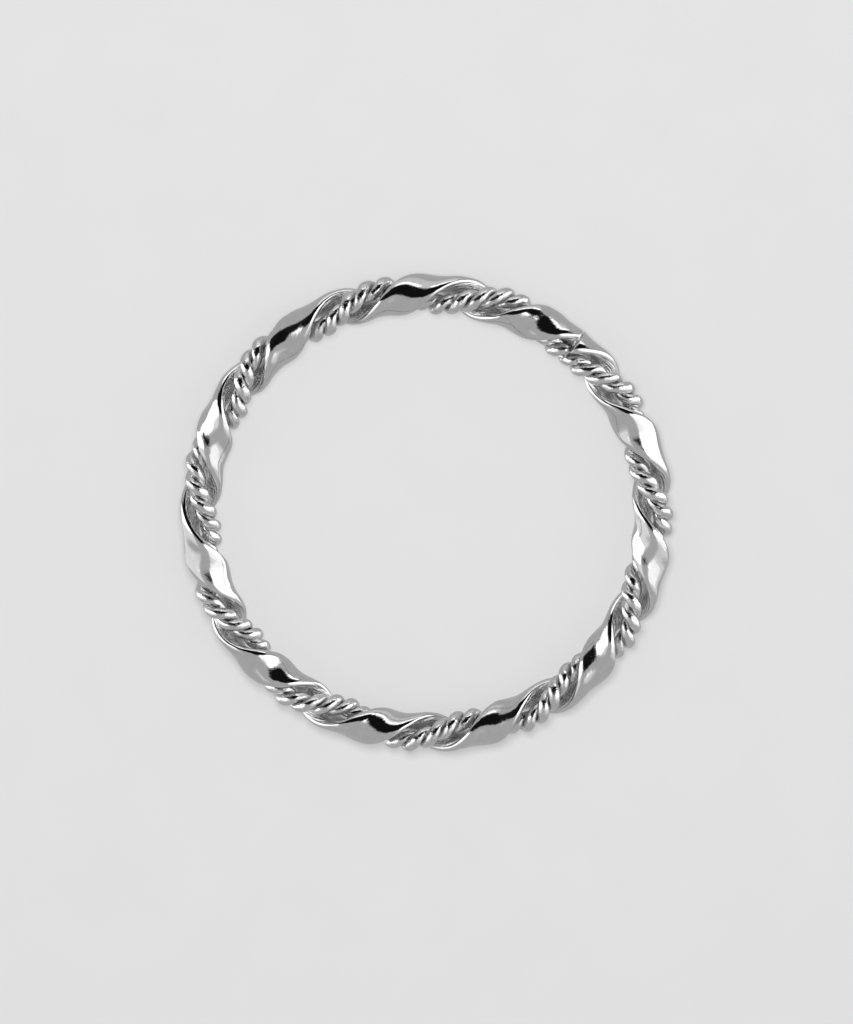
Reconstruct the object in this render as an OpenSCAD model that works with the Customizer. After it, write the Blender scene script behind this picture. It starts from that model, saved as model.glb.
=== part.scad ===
// Twisted wire ring.
// A smooth half-round wire and a rope of two fine round wires are laid up together with a
// left-hand twist. The bundle is bent into a hoop, and one solder joint closes it.
// The hoop lies flat with its axis along +Z, and its lowest point is at Z = 0.
// Angles along the hoop are in degrees, clockwise from +Y as seen from above.

/* [Hoop] */
// Inside diameter of the finger hole, between the inmost points of the wires
inside_d = 17.3; // [15:0.1:20]
// Place of the solder joint along the hoop, in degrees
joint_a = 39.4; // [38.4:0.2:41]
// Length of the solder joint along the hoop
joint_w = 0.24; // [0.2:0.02:0.4]
// Diameter of the solder joint
joint_d = 1.62; // [1.5:0.02:1.66]

/* [Smooth wire] */
// Width of the half-round wire
strip_w = 1.6; // [1.46:0.02:1.64]
// Thickness from the lips of its flat side to the middle of its back
strip_t = 0.72; // [0.66:0.02:0.76]
// Fullness of its back: 2 is an ellipse, and more squares its shoulders
back_power = 2; // [1.9:0.1:2.6]
// Radius of the lip along each edge of its flat side
lip_r = 0.16; // [0.08:0.01:0.2]
// Depth of the hollow between the lips
dish = 0.03; // [0:0.01:0.05]
// How far its flat side lies behind the middle of the bundle
flat_back = 0.05; // [0.03:0.01:0.08]

/* [Rope] */
// Diameter of each wire of the rope
wire_d = 0.41; // [0.34:0.01:0.42]
// Usual distance along the hoop from one lobe of the rope to the next, in degrees
lobe_a = 4.13; // [4:0.01:4.3]
// Clearance from any strand to the next
gap = 0.04; // [0.03:0.005:0.05]

/* [Smoothness] */
// Stations along the smooth wire
strip_rings = 180; // [140:2:190]
// Stations along each wire of the rope
wire_rings = 436; // [400:4:440]

/* [Hidden] */

// Each turn of the bundle as it lies along the hoop: where the rope faces the finger hole,
// where it faces outward, and where one of its wires crosses the outer side of the rope.
FACES_IN = 0;
FACES_OUT = 1;
CREST = 2;
TURNS = [
    [41.5, 58, 60.5],
    [74, 90.5, 89],
    [106.5, 123, 122.5],
    [138.5, 155.5, 151],
    [170.5, 187, 184.5],
    [202.5, 218.5, 217.5],
    [234, 249.5, 246],
    [265.5, 283.5, 279],
    [298.5, 314.5, 312],
    [330.5, 347, 345.5],
    [362, 379.5, 379],
    [395.5, 412, 412.5],
];
last_turn = len(TURNS) - 1;

// Turn of the bundle and of the rope, in degrees, at the places in the table
turn_keys = [for (row = TURNS) for (a = [row[FACES_IN], row[FACES_OUT]]) a];
turn_values = [for (k = [0:last_turn]) for (quarter = [-90, 90]) 360 * k + quarter];
crest_keys = [for (row = TURNS) row[CREST]];
function lobes_since(k) = round((crest_keys[k] - crest_keys[k - 1]) / lobe_a);
function crest_value(k) = k == 0 ? 90 : crest_value(k - 1) + 180 * lobes_since(k);
crest_values = [for (k = [0:last_turn]) crest_value(k)];

// Points of each quarter of the back, of a lip, of half the hollow and round a rope wire
back_steps = 3;
lip_steps = 2;
dish_steps = 2;
wire_sides = 6;
// A short way along the hoop, in degrees, to find where a curve is heading
nearby = 0.01;

// Outline of the half-round wire, x toward the rope and y across, from one lip over the
// back to the other lip and home through the hollow
function eased(s) = sign(s) * pow(abs(s), 2 / back_power);
function strip_outline() =
    let (
        half = strip_w / 2,
        lip_y = half - lip_r,
        back = [for (i = [-back_steps:back_steps]) let (t = 90 * i / back_steps)
            [-lip_r - (strip_t - lip_r) * eased(cos(t)), half * eased(sin(t))]],
        lip = [for (i = [1:lip_steps]) let (t = 90 * i / lip_steps)
            [lip_r * sin(t) - lip_r, lip_y + lip_r * cos(t)]],
        hollow = [for (i = [1:2 * dish_steps - 1]) let (t = 90 * i / dish_steps)
            [-dish * pow(sin(t), 2), lip_y * cos(t)]],
        low_lip = [for (i = [lip_steps:-1:1]) let (p = lip[i - 1]) [p[0], -p[1]]]
    )
    [for (p = concat(back, lip, hollow, low_lip)) p - [flat_back, 0]];
outline = strip_outline();

// Middle of the rope, its reach from the middle of the bundle, and the hoop's centre line
helix_r = (wire_d + gap) / 2;
rope_x = gap + wire_d / 2 + helix_r - flat_back;
bundle_r = max(rope_x + helix_r + wire_d / 2, max([for (p = outline) norm(p)]));
path_r = inside_d / 2 + bundle_r;
degree = path_r * PI / 180;

// Solder joint: half its length as an angle, and the length of its two sloping rims
joint_half = joint_w / 2 / degree;
joint_rim = 0.04 / degree;
// Where a rope wire stops, so that its slanting end stays clear of the joint
end_slant = 0.36;
end_half = joint_half + (gap + end_slant) / degree;

// Smooth curve through the keys that never overshoots, going on straight past its ends
function chord(xs, ys, i) = (ys[i + 1] - ys[i]) / (xs[i + 1] - xs[i]);
function key_slope(xs, ys, i) =
    i == 0 ? chord(xs, ys, 0)
    : i == len(xs) - 1 ? chord(xs, ys, i - 1)
    : let (before = chord(xs, ys, i - 1), after = chord(xs, ys, i))
        2 * before * after / (before + after);
function span_of(xs, x, i = 0) = i >= len(xs) - 2 || x < xs[i + 1] ? i : span_of(xs, x, i + 1);
function smooth_through(xs, ys, x) =
    let (n = len(xs) - 1)
    x <= xs[0] ? ys[0] + (x - xs[0]) * key_slope(xs, ys, 0)
    : x >= xs[n] ? ys[n] + (x - xs[n]) * key_slope(xs, ys, n)
    : let (
        i = span_of(xs, x),
        h = xs[i + 1] - xs[i],
        t = (x - xs[i]) / h,
        rise = 3 * t * t - 2 * t * t * t
    )
        ys[i] + (ys[i + 1] - ys[i]) * rise
        + h * key_slope(xs, ys, i) * t * (1 - t) * (1 - t)
        - h * key_slope(xs, ys, i + 1) * t * t * (1 - t);
function bundle_turn(a) = smooth_through(turn_keys, turn_values, a);
function rope_turn(a) = smooth_through(crest_keys, crest_values, a);

// Directions at an angle along the hoop, and the centre line of the bundle
function outward(a) = [sin(a), cos(a), 0];
function along(a) = [cos(a), -sin(a), 0];
function path(a) = path_r * outward(a) + [0, 0, bundle_r];
function side_of(a, turn) = sin(turn) * outward(a) + [0, 0, cos(turn)];
function rope_axis(a) = path(a) + rope_x * side_of(a, bundle_turn(a));
function unit(v) = v / norm(v);
function square_to(v, t) = unit(v - (v * t) * t);

// A section of the smooth wire lies square to the hoop and turns with the bundle
function strip_ring(a, turn) = [for (p = outline)
    path(a) + p[0] * side_of(a, turn) + p[1] * side_of(a, turn + 90)];

// A section of the solder joint is round, with its points next to those of the wire
function joint_ring(a, turn) = [for (i = [0:len(outline) - 1])
    path(a) + joint_d / 2 * side_of(a, turn + 180 - 360 * (i - back_steps) / len(outline))];

// Centre of a rope wire, whose side is 0 or 180 degrees round the rope
function wire_at(a, side) =
    let (
        forward = unit(rope_axis(a + nearby) - rope_axis(a - nearby)),
        out = square_to(outward(a), forward),
        up = cross(forward, out),
        turn = rope_turn(a) + side
    )
    rope_axis(a) + helix_r * (sin(turn) * out + cos(turn) * up);

// A section of a rope wire lies square to the wire itself
function wire_ring(a, side) =
    let (
        forward = unit(wire_at(a + nearby, side) - wire_at(a - nearby, side)),
        out = square_to(outward(a), forward),
        up = cross(forward, out)
    )
    [for (i = [0:wire_sides - 1]) let (t = 360 * i / wire_sides)
        wire_at(a, side) + wire_d / 2 * (cos(t) * out + sin(t) * up)];

// Surface through a row of rings, joined end to end when it is a loop, or else capped
module skin(rings, loop) {
    sides = len(rings[0]);
    count = len(rings);
    walls = [for (i = [0:count - (loop ? 1 : 2)]) for (j = [0:sides - 1])
        let (
            here = i * sides,
            next = (i + 1) % count * sides,
            k = (j + 1) % sides
        )
        each [[here + j, next + k, here + k], [here + j, next + j, next + k]]];
    caps = loop ? [] : [
        [for (j = [0:sides - 1]) j],
        [for (j = [sides - 1:-1:0]) (count - 1) * sides + j]
    ];
    polyhedron(points = [for (ring = rings) each ring], faces = concat(walls, caps));
}

// Smooth half-round wire, closed on itself by the solder joint
module smooth_wire() {
    first = joint_a + joint_half;
    last = joint_a + 360 - joint_half;
    step = (last - first) / strip_rings;
    wire = [for (i = [0:strip_rings]) let (a = first + i * step) strip_ring(a, bundle_turn(a))];
    // The bundle's turn steps back at the joint, where the solder takes the mean of both sides
    between = (bundle_turn(last) + bundle_turn(first) + 360 * last_turn) / 2;
    solder = [for (a = [last + joint_rim, first + 360 - joint_rim]) joint_ring(a, between)];
    color("silver")
        skin(concat(wire, solder), loop = true);
}

module rope_wire(side) {
    first = joint_a + end_half;
    last = joint_a + 360 - end_half;
    step = (last - first) / wire_rings;
    skin([for (i = [0:wire_rings]) wire_ring(first + i * step, side)], loop = false);
}

module rope_wire_a() {
    color("gainsboro")
        rope_wire(side = 0);
}

module rope_wire_b() {
    color("lightgray")
        rope_wire(side = 180);
}

smooth_wire();
rope_wire_a();
rope_wire_b();
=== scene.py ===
import math

import bpy
import numpy as np
from mathutils import Matrix, Vector


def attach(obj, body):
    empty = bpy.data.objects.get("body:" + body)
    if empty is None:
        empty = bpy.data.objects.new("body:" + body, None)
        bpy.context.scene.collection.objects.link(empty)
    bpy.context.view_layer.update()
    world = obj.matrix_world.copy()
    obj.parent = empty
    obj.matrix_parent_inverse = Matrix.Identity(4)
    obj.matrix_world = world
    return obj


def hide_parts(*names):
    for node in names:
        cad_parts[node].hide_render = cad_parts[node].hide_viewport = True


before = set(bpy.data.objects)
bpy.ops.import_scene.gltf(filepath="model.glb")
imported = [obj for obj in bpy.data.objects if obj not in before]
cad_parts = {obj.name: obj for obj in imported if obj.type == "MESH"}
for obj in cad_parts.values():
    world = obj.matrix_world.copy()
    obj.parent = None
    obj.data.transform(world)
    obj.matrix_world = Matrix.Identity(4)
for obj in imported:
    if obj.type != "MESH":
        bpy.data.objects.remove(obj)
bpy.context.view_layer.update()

MM = 0.001

# Sizes of the ring in millimetres and degrees, as in the CAD source
INSIDE_D = 17.3
JOINT_A = 39.4
STRIP_W = 1.6
STRIP_T = 0.72
BACK_POWER = 2
LIP_R = 0.16
DISH = 0.03
FLAT_BACK = 0.05
WIRE_D = 0.41
LOBE_A = 4.13
GAP = 0.04

# Each turn of the bundle along the hoop: where the rope faces the finger hole, where it
# faces outward, and where one of its wires crosses the outer side of the rope
FACES_IN, FACES_OUT, CREST = range(3)
TURNS = [
    (41.5, 58, 60.5),
    (74, 90.5, 89),
    (106.5, 123, 122.5),
    (138.5, 155.5, 151),
    (170.5, 187, 184.5),
    (202.5, 218.5, 217.5),
    (234, 249.5, 246),
    (265.5, 283.5, 279),
    (298.5, 314.5, 312),
    (330.5, 347, 345.5),
    (362, 379.5, 379),
    (395.5, 412, 412.5),
]

# The strands are pressed together in the real ring, so the shown wires of the rope fill most
# of the CAD clearance: their thickness across the rope, and their width round it
SHOWN_WIRE_T = 0.43
SHOWN_WIRE_W = 0.485
# Joint: half the length over which one end turns into the other, how full it is there, the
# height of the solder on the flat side, how far it creeps to the left and to the right, and
# how steeply it runs out
SEAM_HALF = 0.07
SEAM_FULL = 1.03
FILL_HEIGHT = 0.26
CREEP_LEFT = 0.55
CREEP_RIGHT = 0.25
CREEP_POWER = 1.5
# How far the melted ends of the rope wires reach past the joint, how long they are, and how
# nearly each comes to a point
MELT_REACH = 0.06
MELT_LENGTH = 0.2
MELT_CLOSES = 0.98

# Shallow swells that the tools left: their height as a share of the section's size, and the
# fewest and the most of them along the hoop
STRIP_SWELLS = (0.004, 20, 80)
WIRE_SWELLS = (0.028, 40, 170)
SWELL_WAVES = 40
MOST_ROUND = 3

# Fineness of the meshes, and how much closer the stations lie near the joint: 0 is evenly
STRIP_STATIONS = 1240
STRIP_CROWDING = 0.75
WIRE_STATIONS = 1700
WIRE_CROWDING = 0.6
WIRE_SIDES = 20
BACK_STEPS = 14
LIP_STEPS = 5
DISH_STEPS = 8
# How far the first and the last station stay from the joint, as a share of half the hoop
OFF_JOINT = 1e-5
# A short way along the hoop, in degrees, to find where a line is heading
NEARBY = 0.01
# How much the inner end of a lip belongs to the flat side
LIP_FLATNESS = 0.5

# Silver: its darkest and lightest polished grey, and how much darker it is in a pit and in
# patches where it is tarnished and shade is painted, both only where the polish doesn't reach
POLISHED_GREYS = (0.60, 0.65)
PIT_DARKER = 0.2
TARNISH_AND_SHADE_DARKER = 0.1
# How much rougher it is where it is worn, and where the polish doesn't reach
WORN_ROUGHER = 0.06
INSIDE_ROUGHER = 0.03
# Sizes of its textures in millimetres: patches of wear, drawing marks along and across a
# wire, grains of its skin, and casting pits
WEAR_SIZE = 0.3
MARK_LENGTH = 2.2
MARK_WIDTH = 0.09
GRAIN_SIZE = 0.13
PIT_SIZE = 0.11
# Spans of an attribute or a noise over which each look of the silver comes in
INSIDE = (0.6, 0.9)
PITTED = (0.60, 0.74)
TARNISHED_AND_SHADED = (0.45, 0.65)
POLISHED = (0.3, 0.8)
WORN = (0.4, 0.9)

# Camera of the photograph: its lean from the hoop's axis and which way it leans, both in
# degrees, its distance and its sensor's longer side in millimetres
LEAN = 14.8
LEAN_A = 8.5
CAMERA_DISTANCE = 260
SENSOR = 36
# Picture: millimetres in a pixel at the hoop, its height in pixels, and how far the hoop lies
# right of and below its middle in pixels
MM_PER_PIXEL = 0.04195
PICTURE_HEIGHT = 1024
HOOP_RIGHT = 0.16
HOOP_BELOW = 3.06

# Light of the studio: an even grey, with patches painted over it in this order. Each patch has
# its corners, clockwise and in degrees right and up from the camera, then its brightness and
# half the width of its soft edge. The last two are the dark card round the camera.
EVEN_LIGHT = 0.56
PATCHES = [
    ([(-150, -43), (-150, -18), (-33, -18), (-33, -43)], 1.08, 8),
    ([(18, -46), (18, -18), (112, -18), (112, -55), (50, -56)], 0.95, 7),
    ([(22, -38), (20, -16), (90, -16), (90, -40)], 1.45, 4),
    ([(-122, -18), (-122, 24), (-35, 24), (-35, -18)], 2.5, 3),
    ([(20, -18), (20, -2), (96, 43), (112, 43), (112, -18)], 2.5, 3),
    ([(-30, 44), (-36, 95), (46, 95), (42, 44)], 0.8, 5),
    ([(-14, 48), (-14, 61), (46, 61), (46, 48)], 2.0, 2),
    ([(-14, -11), (-47, 6), (-66, 26), (-66, 37), (-10, 37), (-10, -11)], 0.012, 4),
    ([(-12, -13), (-29, 0), (-29, 47), (44, 47), (49, 26), (36, 6), (12, -13)], 0.008, 3),
]
# Least sine of an angle from the camera's axis, which keeps a division from nought on it
LEAST_SINE = 1e-4
# Lamp for the floor: its power in watts, and its radius, its place toward the hoop's top and
# its height in millimetres
LAMP_POWER = 70
LAMP_RADIUS = 16
LAMP_AHEAD = 34
LAMP_HEIGHT = 91
# Floor: half its width in metres, its roughness, the strength of its own light, the greys of
# its mottle, the mottle's size in millimetres, and the span of its noise
FLOOR_REACH = 1.0
FLOOR_ROUGHNESS = 0.9
FLOOR_GLOW = 0.42
FLOOR_GREYS = (0.138, 0.142)
MOTTLE_SIZE = 3.0
MOTTLED = (0.2, 0.8)
# What the camera sees past the floor's edge
BACKDROP = 0.76

# Turn of the bundle and of the rope, in degrees, at the places in the table
turn_keys = [row[column] for row in TURNS for column in (FACES_IN, FACES_OUT)]
turn_values = [360 * k + quarter for k in range(len(TURNS)) for quarter in (-90, 90)]
crest_keys = [row[CREST] for row in TURNS]
crest_values = [90]
for before, after in zip(crest_keys, crest_keys[1:]):
    crest_values.append(crest_values[-1] + 180 * round((after - before) / LOBE_A))


def smooth_through(xs, ys, x):
    """Smooth curve through the keys that never overshoots, going on straight past its ends."""
    xs, ys, x = (np.asarray(values, float) for values in (xs, ys, x))
    chords = np.diff(ys) / np.diff(xs)
    inner = 2 * chords[:-1] * chords[1:] / (chords[:-1] + chords[1:])
    slopes = np.concatenate([chords[:1], inner, chords[-1:]])
    i = np.clip(np.searchsorted(xs, x, side="right") - 1, 0, len(chords) - 1)
    span = xs[i + 1] - xs[i]
    t = (x - xs[i]) / span
    rise = 3 * t**2 - 2 * t**3
    between = (
        ys[i]
        + (ys[i + 1] - ys[i]) * rise
        + span * slopes[i] * t * (1 - t) ** 2
        - span * slopes[i + 1] * t**2 * (1 - t)
    )
    low = ys[0] + (x - xs[0]) * slopes[0]
    high = ys[-1] + (x - xs[-1]) * slopes[-1]
    return np.where(x < xs[0], low, np.where(x > xs[-1], high, between))


def bundle_turn(a):
    return smooth_through(turn_keys, turn_values, a)


def rope_turn(a):
    return smooth_through(crest_keys, crest_values, a)


def unit(v):
    return v / np.linalg.norm(v, axis=-1, keepdims=True)


def outward(a):
    """Direction from the middle of the hoop at an angle along it."""
    t = np.radians(a)
    return np.stack([np.sin(t), np.cos(t), np.zeros_like(t)], axis=-1)


def side_of(a, turn):
    """Direction across the bundle: upward at a turn of 0 degrees, and outward at 90."""
    q = np.radians(turn)[..., None]
    return np.sin(q) * outward(a) + np.cos(q) * np.array([0.0, 0.0, 1.0])


def square_to(v, t):
    """Direction of v without its part along t."""
    return unit(v - (v * t).sum(axis=-1, keepdims=True) * t)


def eased(s):
    """Sine or cosine of the back's outline: an ellipse if BACK_POWER is 2, and fuller above."""
    return np.sign(s) * np.abs(s) ** (2 / BACK_POWER)


def strip_outline():
    """Outline of the half-round wire, x toward the rope and y across, and how much each
    point belongs to the flat side: 0 on the back, 1 in the middle of the flat side."""
    half = STRIP_W / 2
    lip_y = half - LIP_R
    t = np.radians(90 * np.arange(-BACK_STEPS, BACK_STEPS + 1) / BACK_STEPS)
    back = np.stack([-LIP_R - (STRIP_T - LIP_R) * eased(np.cos(t)), half * eased(np.sin(t))], -1)
    t = np.radians(90 * np.arange(1, LIP_STEPS + 1) / LIP_STEPS)
    lip = np.stack([LIP_R * np.sin(t) - LIP_R, lip_y + LIP_R * np.cos(t)], -1)
    t = np.radians(90 * np.arange(1, 2 * DISH_STEPS) / DISH_STEPS)
    hollow = np.stack([-DISH * np.sin(t) ** 2, lip_y * np.cos(t)], -1)
    low_lip = lip[::-1] * [1, -1]
    points = np.concatenate([back, lip, hollow, low_lip]) - [FLAT_BACK, 0]
    flat = np.concatenate([
        np.zeros(len(back)),
        np.linspace(0, LIP_FLATNESS, LIP_STEPS + 1)[1:],
        LIP_FLATNESS + (1 - LIP_FLATNESS) * np.sqrt(np.sin(t)),
        np.linspace(LIP_FLATNESS, 0, LIP_STEPS + 1)[:-1],
    ])
    return points, flat


outline, flatness = strip_outline()
# Radius of the rope's own helix, the rope's middle as seen from the bundle's, the radius of
# the bundle and of the hoop's centre line, and a degree along that line in millimetres
helix_r = (WIRE_D + GAP) / 2
rope_x = GAP + WIRE_D / 2 + helix_r - FLAT_BACK
bundle_r = max(rope_x + helix_r + WIRE_D / 2, np.linalg.norm(outline, axis=1).max())
path_r = INSIDE_D / 2 + bundle_r
degree = path_r * math.pi / 180
bundle_centre = np.array([0.0, 0.0, bundle_r])


def path(a):
    """Centre line of the bundle."""
    return path_r * outward(a) + bundle_centre


def rope_axis(a):
    """Centre line of the rope."""
    return path(a) + rope_x * side_of(a, bundle_turn(a))


def heading(line, a):
    """Direction of a centre line at an angle along the hoop."""
    return unit(line(a + NEARBY) - line(a - NEARBY))


def wire_line(side):
    """Centre line of a rope wire, whose side is 0 or 180 degrees round the rope."""
    def line(a):
        forward = heading(rope_axis, a)
        out = square_to(outward(a), forward)
        up = np.cross(forward, out)
        turn = np.radians(rope_turn(a) + side)[..., None]
        return rope_axis(a) + helix_r * (np.sin(turn) * out + np.cos(turn) * up)
    return line


def loft(name, rings, closed):
    """Mesh object through a row of rings of points in millimetres."""
    count, sides, _ = rings.shape
    ring = np.arange(count if closed else count - 1)[:, None]
    side = np.arange(sides)[None, :]
    here, ahead = ring * sides, (ring + 1) % count * sides
    following = (side + 1) % sides
    walls = np.stack([here + side, here + following, ahead + following, ahead + side], -1)
    faces = walls.reshape(-1, 4).tolist()
    if not closed:
        faces.append(list(range(sides))[::-1])
        faces.append([(count - 1) * sides + k for k in range(sides)])
    mesh = bpy.data.meshes.new(name)
    mesh.from_pydata((rings.reshape(-1, 3) * MM).tolist(), [], faces)
    mesh.shade_smooth()
    made = bpy.data.objects.new(name, mesh)
    bpy.context.scene.collection.objects.link(made)
    return made


def stations(count, crowding):
    """Places from -1 to 1, which lie closer together toward both."""
    share = np.linspace(-1, 1, count)
    return share + crowding * np.sin(math.pi * share) / math.pi


def swollen(a, sides, swells, seed):
    """Size of each point of each section, 1 but for seeded swells along and round the wire."""
    height, fewest, most = swells
    random = np.random.default_rng(seed)
    along = np.radians(a)[:, None]
    about = (2 * math.pi * np.arange(sides) / sides)[None, :]
    total = np.zeros((len(a), sides))
    for _ in range(SWELL_WAVES):
        start = random.uniform(0, 2 * math.pi)
        turns_along = random.integers(fewest, most)
        turns_round = random.integers(-MOST_ROUND, MOST_ROUND + 1)
        total += np.cos(turns_along * along + turns_round * about + start)
    return (1 + height * math.sqrt(2 / SWELL_WAVES) * total)[..., None]


def keep_values(piece, shape, **attributes):
    """Keeps a number of each name for each point of a piece, for its material to read."""
    for name, values in attributes.items():
        attribute = piece.data.attributes.new(name, "FLOAT", "POINT")
        attribute.data.foreach_set("value", np.broadcast_to(values, shape).ravel())


def smooth_wire():
    """The half-round wire, closed on itself by solder that also creeps along its flat side."""
    a = JOINT_A + 180 * (1 + (1 - OFF_JOINT) * stations(STRIP_STATIONS, STRIP_CROWDING))
    turn = bundle_turn(a)
    from_joint = np.minimum(a - JOINT_A, JOINT_A + 360 - a) * degree
    creep = np.where(a > JOINT_A + 180, CREEP_LEFT, CREEP_RIGHT)
    fill = FILL_HEIGHT * np.exp(-((from_joint / creep) ** CREEP_POWER))
    mound = np.maximum(1 - (outline[:, 1] / (STRIP_W / 2 - LIP_R)) ** 2, 0)
    mound = mound * (flatness > LIP_FLATNESS)
    x = outline[None, :, 0] + fill[:, None] * mound[None, :]
    across = x[..., None] * side_of(a, turn)[:, None, :]
    across = across + outline[None, :, 1:] * side_of(a, turn + 90)[:, None, :]
    points = path(a)[:, None, :] + swollen(a, len(outline), STRIP_SWELLS, seed=1) * across
    # Both ends turn into one section, the mean of the first and the last
    middle = path(np.array([JOINT_A]))
    seam = middle + SEAM_FULL * ((points[0] + points[-1]) / 2 - middle)
    share = np.clip(from_joint / SEAM_HALF, 0, 1)[:, None, None]
    own = share * share * (3 - 2 * share)
    rings = points * own + seam * (1 - own)
    piece = loft("smooth_wire_shown", rings, closed=True)
    along = ((a - JOINT_A) * degree)[:, None]
    # The flat side is where the polish doesn't reach: the silver is rougher there, and darker
    # with tarnishing and painted shade
    keep_values(piece, rings.shape[:2], flat=flatness, along=along, across=outline[:, 1])
    return piece


def rope_wire(name, side, seed):
    """One of the two round wires of the rope, pressed slightly flat and melted at its ends."""
    line = wire_line(side)
    half = 180 + MELT_REACH / degree
    share = stations(WIRE_STATIONS, WIRE_CROWDING)
    a = JOINT_A + 180 + half * share
    forward = heading(line, a)
    out = square_to(line(a) - rope_axis(a), forward)
    beside = np.cross(forward, out)
    t = np.radians(360 * np.arange(WIRE_SIDES) / WIRE_SIDES)[None, :, None]
    spokes = np.cos(t) * out[:, None, :] + np.sin(t) * beside[:, None, :]
    to_end = half * (1 - np.abs(share)) * degree
    melted = np.clip(1 - to_end / MELT_LENGTH, 0, 1)
    size = np.sqrt(1 - MELT_CLOSES * melted**2)[:, None, None]
    thick = SHOWN_WIRE_T / 2 * np.cos(t) * out[:, None, :]
    wide = SHOWN_WIRE_W / 2 * np.sin(t) * beside[:, None, :]
    swells = swollen(a, WIRE_SIDES, WIRE_SWELLS, seed)
    rings = line(a)[:, None, :] + size * swells * (thick + wide)
    piece = loft(name, rings, closed=False)
    # How far each point faces the middle of the bundle, where polish doesn't reach: the silver is
    # rougher there, and darker with tarnishing and painted shade
    middle = unit(path(a) - line(a))[:, None, :]
    inner = (1 + (spokes * middle).sum(-1)) / 2
    along = ((a - JOINT_A) * degree)[:, None]
    # The way round the wire counts alike from both sides, so that its marks show no seam
    across = np.abs(np.arange(WIRE_SIDES) - WIRE_SIDES / 2) * math.pi * SHOWN_WIRE_T / WIRE_SIDES
    keep_values(piece, rings.shape[:2], inner=inner, along=along, across=across)
    return piece


class Nodes:
    """Short calls for building a node tree."""

    def __init__(self, tree):
        self.tree = tree

    def add(self, kind, **settings):
        node = self.tree.nodes.new(kind)
        for key, value in settings.items():
            setattr(node, key, value)
        return node

    def feed(self, socket, value):
        if isinstance(value, bpy.types.NodeSocket):
            self.tree.links.new(value, socket)
        else:
            socket.default_value = value

    def maths(self, operation, *values):
        node = self.add("ShaderNodeMath", operation=operation)
        for socket, value in zip(node.inputs, values):
            self.feed(socket, value)
        return node.outputs[0]

    def ramp(self, value, span, result=(0.0, 1.0)):
        """Goes smoothly from one end of the result to the other as the value crosses the span."""
        node = self.add("ShaderNodeMapRange", interpolation_type="SMOOTHSTEP")
        names = ("Value", "From Min", "From Max", "To Min", "To Max")
        for name, given in zip(names, (value, *span, *result)):
            self.feed(node.inputs[name], given)
        return node.outputs["Result"]

    def noise(self, where, size, detail=2.0, roughness=0.5):
        node = self.add("ShaderNodeTexNoise")
        self.feed(node.inputs["Vector"], where)
        self.feed(node.inputs["Scale"], 1 / size)
        self.feed(node.inputs["Detail"], detail)
        self.feed(node.inputs["Roughness"], roughness)
        return node.outputs["Fac"]

    def attribute(self, name):
        return self.add("ShaderNodeAttribute", attribute_name=name).outputs["Fac"]

    def object_place(self):
        """Place on the object, in millimetres."""
        node = self.add("ShaderNodeVectorMath", operation="SCALE")
        self.feed(node.inputs[0], self.add("ShaderNodeTexCoord").outputs["Object"])
        self.feed(node.inputs["Scale"], 1 / MM)
        return node.outputs["Vector"]

    def along_wire(self, length, width):
        """Place along and across a wire, in lengths and widths of its drawing marks."""
        node = self.add("ShaderNodeCombineXYZ")
        self.feed(node.inputs[0], self.maths("DIVIDE", self.attribute("along"), length))
        self.feed(node.inputs[1], self.maths("DIVIDE", self.attribute("across"), width))
        return node.outputs[0]

    def grey(self, level):
        node = self.add("ShaderNodeCombineColor")
        for socket in node.inputs:
            self.feed(socket, level)
        return node.outputs[0]


def new_material(name):
    material = bpy.data.materials.new(name)
    material.use_nodes = True
    return material, Nodes(material.node_tree), material.node_tree.nodes["Principled BSDF"]


def silver(name, dull_and_shaded, soft, rubbed, streak, grain, pit):
    """Polished silver. The second argument names the attribute that says where the polish doesn't
    reach, where the silver is rougher and darker with tarnishing and painted shade; soft is the
    least roughness, and rubbed the share of the fine relief that is left where the polish does
    reach.
    Streak, grain and pit are the heights in millimetres of the drawing marks along the wire,
    of the grains of its skin and of the casting pits."""
    material, n, shader = new_material(name)
    where = n.object_place()
    inside = n.ramp(n.attribute(dull_and_shaded), INSIDE)
    left = n.maths("MULTIPLY_ADD", inside, 1 - rubbed, rubbed)
    wear = n.noise(where, WEAR_SIZE, detail=4.0, roughness=0.65)
    wire_place = n.along_wire(MARK_LENGTH, MARK_WIDTH)
    marks = n.noise(wire_place, size=1.0, detail=3.0, roughness=0.6)
    skin = n.noise(where, GRAIN_SIZE, roughness=0.6)
    pits = n.ramp(n.noise(where, PIT_SIZE), PITTED)

    # Painted shade together with tarnishing: darker in noise patches and in pits, only where the
    # polish doesn't reach
    tarnish_and_shade = n.ramp(wear, TARNISHED_AND_SHADED, (0.0, TARNISH_AND_SHADE_DARKER))
    tarnish_and_shade = n.maths("MULTIPLY_ADD", pits, PIT_DARKER, tarnish_and_shade)
    polished = n.ramp(wear, POLISHED, POLISHED_GREYS)
    level = n.maths("SUBTRACT", polished, n.maths("MULTIPLY", tarnish_and_shade, inside))
    n.feed(shader.inputs["Base Color"], n.grey(level))
    n.feed(shader.inputs["Metallic"], 1.0)
    worn = n.ramp(wear, WORN, (soft, soft + WORN_ROUGHER))
    n.feed(shader.inputs["Roughness"], n.maths("MULTIPLY_ADD", inside, INSIDE_ROUGHER, worn))

    height = 0.0
    for texture, size in ((marks, streak), (skin, grain), (pits, -pit)):
        relief = n.maths("MULTIPLY", texture, n.maths("MULTIPLY", left, size * MM))
        height = n.maths("ADD", height, relief)
    bump = n.add("ShaderNodeBump")
    n.feed(bump.inputs["Distance"], 1.0)
    n.feed(bump.inputs["Height"], height)
    n.feed(shader.inputs["Normal"], bump.outputs["Normal"])
    return material


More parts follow.
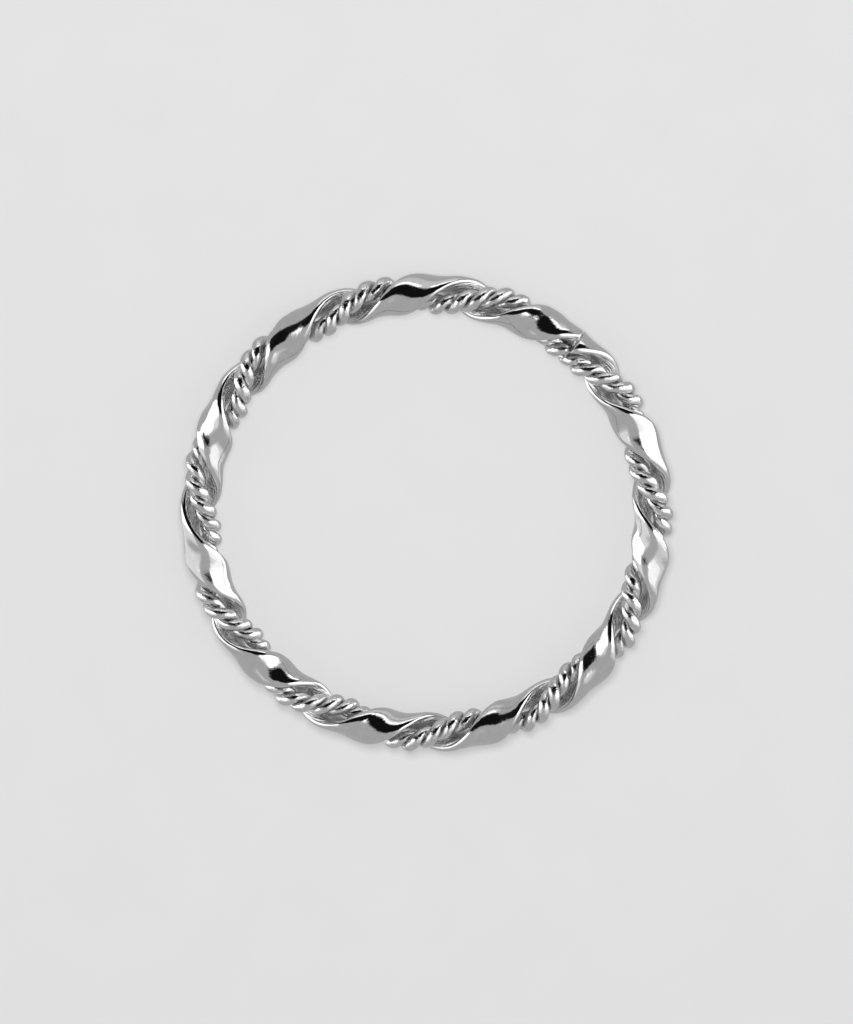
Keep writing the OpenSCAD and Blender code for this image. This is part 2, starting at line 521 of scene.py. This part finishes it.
def studio():
    """Even grey light all round, with the patches painted over it."""
    world = bpy.data.worlds.new("studio")
    bpy.context.scene.world = world
    world.use_nodes = True
    world.node_tree.nodes.clear()
    n = Nodes(world.node_tree)
    direction = n.add("ShaderNodeTexCoord").outputs["Generated"]

    def part_along(axis):
        node = n.add("ShaderNodeVectorMath", operation="DOT_PRODUCT")
        n.feed(node.inputs[0], direction)
        n.feed(node.inputs[1], axis)
        return node.outputs["Value"]

    front, right, above = (part_along(axis) for axis in (to_camera, camera_right, camera_up))
    off_axis = n.maths("MULTIPLY", n.maths("ARCCOSINE", front), 180 / math.pi)
    squared = n.maths("MULTIPLY_ADD", right, right, n.maths("MULTIPLY", above, above))
    sine = n.maths("MAXIMUM", n.maths("SQRT", squared), LEAST_SINE)
    spread = n.maths("DIVIDE", off_axis, sine)
    x = n.maths("MULTIPLY", right, spread)
    y = n.maths("MULTIPLY", above, spread)

    def depth_inside(corners):
        """How far a direction is inside a patch, from its nearest side."""
        depth = None
        for (x0, y0), (x1, y1) in zip(corners, corners[1:] + corners[:1]):
            length = math.hypot(x1 - x0, y1 - y0)
            inward = ((y1 - y0) / length, (x0 - x1) / length)
            start = -(x0 * inward[0] + y0 * inward[1])
            side = n.maths("MULTIPLY_ADD", x, inward[0], start)
            side = n.maths("MULTIPLY_ADD", y, inward[1], side)
            depth = side if depth is None else n.maths("MINIMUM", depth, side)
        return depth

    level = EVEN_LIGHT
    for corners, brightness, soft in PATCHES:
        cover = n.ramp(depth_inside(corners), (-soft, soft))
        kept = n.maths("MULTIPLY", level, n.maths("SUBTRACT", 1.0, cover))
        level = n.maths("MULTIPLY_ADD", cover, brightness, kept)
    seen = n.add("ShaderNodeLightPath").outputs["Is Camera Ray"]
    unseen = n.maths("SUBTRACT", 1.0, seen)
    level = n.maths("MULTIPLY_ADD", seen, BACKDROP, n.maths("MULTIPLY", level, unseen))
    background = n.add("ShaderNodeBackground")
    n.feed(background.inputs["Color"], (1, 1, 1, 1))
    n.feed(background.inputs["Strength"], level)
    output = n.add("ShaderNodeOutputWorld")
    n.feed(output.inputs["Surface"], background.outputs[0])


def make_camera():
    """Camera at the photograph's angle, looking down on the hoop."""
    camera = bpy.data.cameras.new("camera")
    camera.sensor_width = SENSOR
    camera.lens = SENSOR * CAMERA_DISTANCE / (PICTURE_HEIGHT * MM_PER_PIXEL)
    made = bpy.data.objects.new("camera", camera)
    bpy.context.scene.collection.objects.link(made)
    placed = Matrix((camera_right, camera_up, to_camera)).transposed().to_4x4()
    aim = bundle_centre + MM_PER_PIXEL * (HOOP_BELOW * camera_up - HOOP_RIGHT * camera_right)
    placed.translation = Vector((aim + CAMERA_DISTANCE * to_camera) * MM)
    made.matrix_world = placed
    bpy.context.scene.camera = made


def make_floor():
    """Pale floor with a faint mottle, which gives some light of its own to be even."""
    mesh = bpy.data.meshes.new("floor")
    corners = [(-1, -1, 0), (1, -1, 0), (1, 1, 0), (-1, 1, 0)]
    mesh.from_pydata([Vector(corner) * FLOOR_REACH for corner in corners], [], [(0, 1, 2, 3)])
    floor = bpy.data.objects.new("floor", mesh)
    bpy.context.scene.collection.objects.link(floor)
    material, n, shader = new_material("pale_floor")
    mottle = n.ramp(n.noise(n.object_place(), MOTTLE_SIZE), MOTTLED, FLOOR_GREYS)
    n.feed(shader.inputs["Base Color"], n.grey(mottle))
    n.feed(shader.inputs["Roughness"], FLOOR_ROUGHNESS)
    n.feed(shader.inputs["Emission Color"], (1, 1, 1, 1))
    n.feed(shader.inputs["Emission Strength"], FLOOR_GLOW)
    mesh.materials.append(material)
    # The silver in the photograph mirrors no floor, as if the ring lay on clear glass above it
    floor.visible_glossy = False


def make_lamp():
    """Soft lamp high beyond the hoop's top, for the shadow on the floor alone. Its light
    doesn't fade with distance, so the floor is even."""
    lamp = bpy.data.lights.new("lamp", "POINT")
    lamp.energy = LAMP_POWER
    lamp.shadow_soft_size = LAMP_RADIUS * MM
    lamp.use_nodes = True
    n = Nodes(lamp.node_tree)
    falloff = n.add("ShaderNodeLightFalloff")
    n.feed(falloff.inputs["Strength"], 1.0)
    n.feed(lamp.node_tree.nodes["Emission"].inputs["Strength"], falloff.outputs["Constant"])
    made = bpy.data.objects.new("lamp", lamp)
    bpy.context.scene.collection.objects.link(made)
    made.location = (0, LAMP_AHEAD * MM, LAMP_HEIGHT * MM)
    made.visible_glossy = False


# Directions of the picture: toward the camera, up and to the right
lean = math.radians(LEAN)
to_camera = math.sin(lean) * outward(LEAN_A) + [0, 0, math.cos(lean)]
camera_up = square_to(np.array([0.0, 1.0, 0.0]), to_camera)
camera_right = np.cross(camera_up, to_camera)

make_camera()
strip = smooth_wire()
strip_silver = silver(
    "polished_silver", "flat", soft=0.06, rubbed=0.06, streak=0.07, grain=0.045, pit=0.014
)
strip.data.materials.append(strip_silver)
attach(strip, "root")
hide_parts("smooth_wire")

rope_silver = silver(
    "rope_silver", "inner", soft=0.03, rubbed=0.28, streak=0.05, grain=0.06, pit=0.016
)
for name, node, side, seed in (
    ("rope_wire_a_shown", "rope_wire_a", 0, 2),
    ("rope_wire_b_shown", "rope_wire_b", 180, 3),
):
    wire = rope_wire(name, side, seed)
    wire.data.materials.append(rope_silver)
    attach(wire, "root")
    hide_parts(node)

make_floor()
make_lamp()
studio()
bpy.context.scene.view_settings.view_transform = "Standard"
